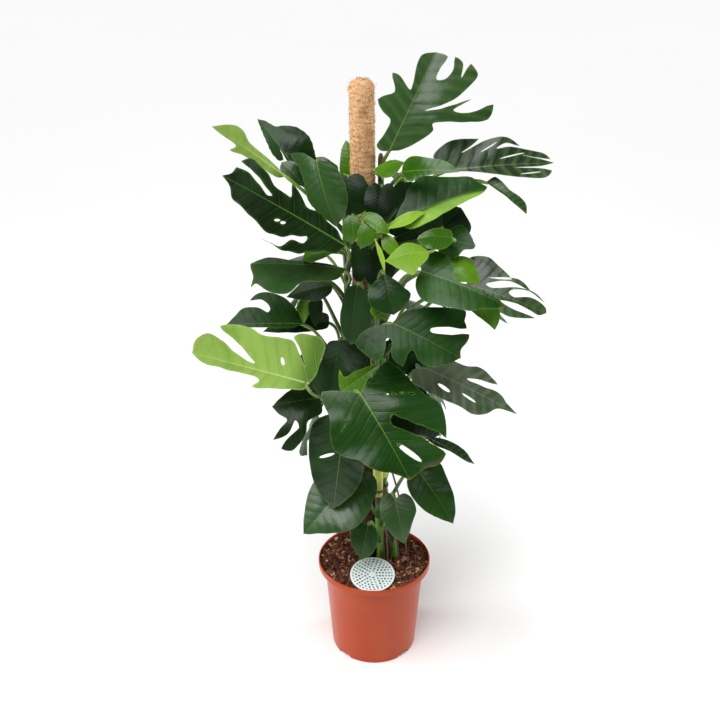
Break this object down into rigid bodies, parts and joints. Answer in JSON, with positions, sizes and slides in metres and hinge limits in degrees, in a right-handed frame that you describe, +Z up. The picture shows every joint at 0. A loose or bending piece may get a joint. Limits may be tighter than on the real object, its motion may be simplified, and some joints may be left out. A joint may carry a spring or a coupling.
{
  "type": "potted monstera",
  "caption": "Tall potted monstera with large split leaves climbing a coir pole, in a round tapered plastic nursery pot filled with bark mix.",
  "frame": {"origin": "middle of the pot's underside, on the flat pad that rests on the floor", "axes": "+Z up along the pot's axis, -Y towards the front of the plant, +X to the right seen from the front"},
  "size_m": [0.7652, 0.6554, 1.4903],
  "materials": {
    "pot_plastic": "satin",
    "bark_mix": "matte",
    "pole_rod": "matte",
    "coir": "matte",
    "label_card": "satin",
    "tie_band": "matte",
    "stem": "satin",
    "dark_leaf": "satin",
    "pale_leaf": "satin"
  },
  "bodies": {
    "root": {"apron_leaf": "dark_leaf", "back_lit_leaf": "pale_leaf", "big_left_leaf": "dark_leaf", "claw_leaf": "dark_leaf", "coir_sleeve": "coir", "core_leaf_a": "dark_leaf", "core_leaf_b": "dark_leaf", "curl_leaf": "pale_leaf", "drop_leaf": "dark_leaf", "dusk_leaf_a": "dark_leaf", "dusk_leaf_b": "dark_leaf", "dusk_leaf_c": "dark_leaf", "edge_leaf": "dark_leaf", "fan_leaf": "dark_leaf", "fluted_leaf": "dark_leaf", "fold_leaf": "pale_leaf", "front_leaf": "dark_leaf", "gloss_leaf": "pale_leaf", "glow_leaf_a": "pale_leaf", "glow_leaf_b": "pale_leaf", "grey_leaf": "dark_leaf", "heart_leaf_a": "dark_leaf", "heart_leaf_b": "dark_leaf", "heart_leaf_c": "dark_leaf", "inner_leaf_a": "dark_leaf", "lime_leaf": "pale_leaf", "lit_leaf_a": "pale_leaf", "lobe_leaf_a": "dark_leaf", "lobe_leaf_b": "dark_leaf", "mid_heart_leaf": "dark_leaf", "pale_leaf": "pale_leaf", "plant_label": "label_card", "plume_leaf": "dark_leaf", "pole_core": "pole_rod", "pot": "pot_plastic", "potting_mix": "bark_mix", "ray_leaf": "dark_leaf", "rear_leaf_a": "dark_leaf", "rear_leaf_b": "dark_leaf", "rear_leaf_c": "dark_leaf", "rear_leaf_d": "dark_leaf", "rear_leaf_e": "dark_leaf", "round_leaf": "dark_leaf", "shade_leaf": "dark_leaf", "sheen_leaf": "dark_leaf", "slim_leaf": "pale_leaf", "slit_leaf": "dark_leaf", "table_leaf": "dark_leaf", "tie_1": "tie_band", "tie_2": "tie_band", "top_leaf": "dark_leaf", "upper_left_leaf": "dark_leaf", "veil_leaf": "dark_leaf", "vine_back": "stem", "vine_front": "stem", "vine_left": "stem", "vine_right": "stem", "wing_leaf": "dark_leaf"}
  },
  "joints": []
}
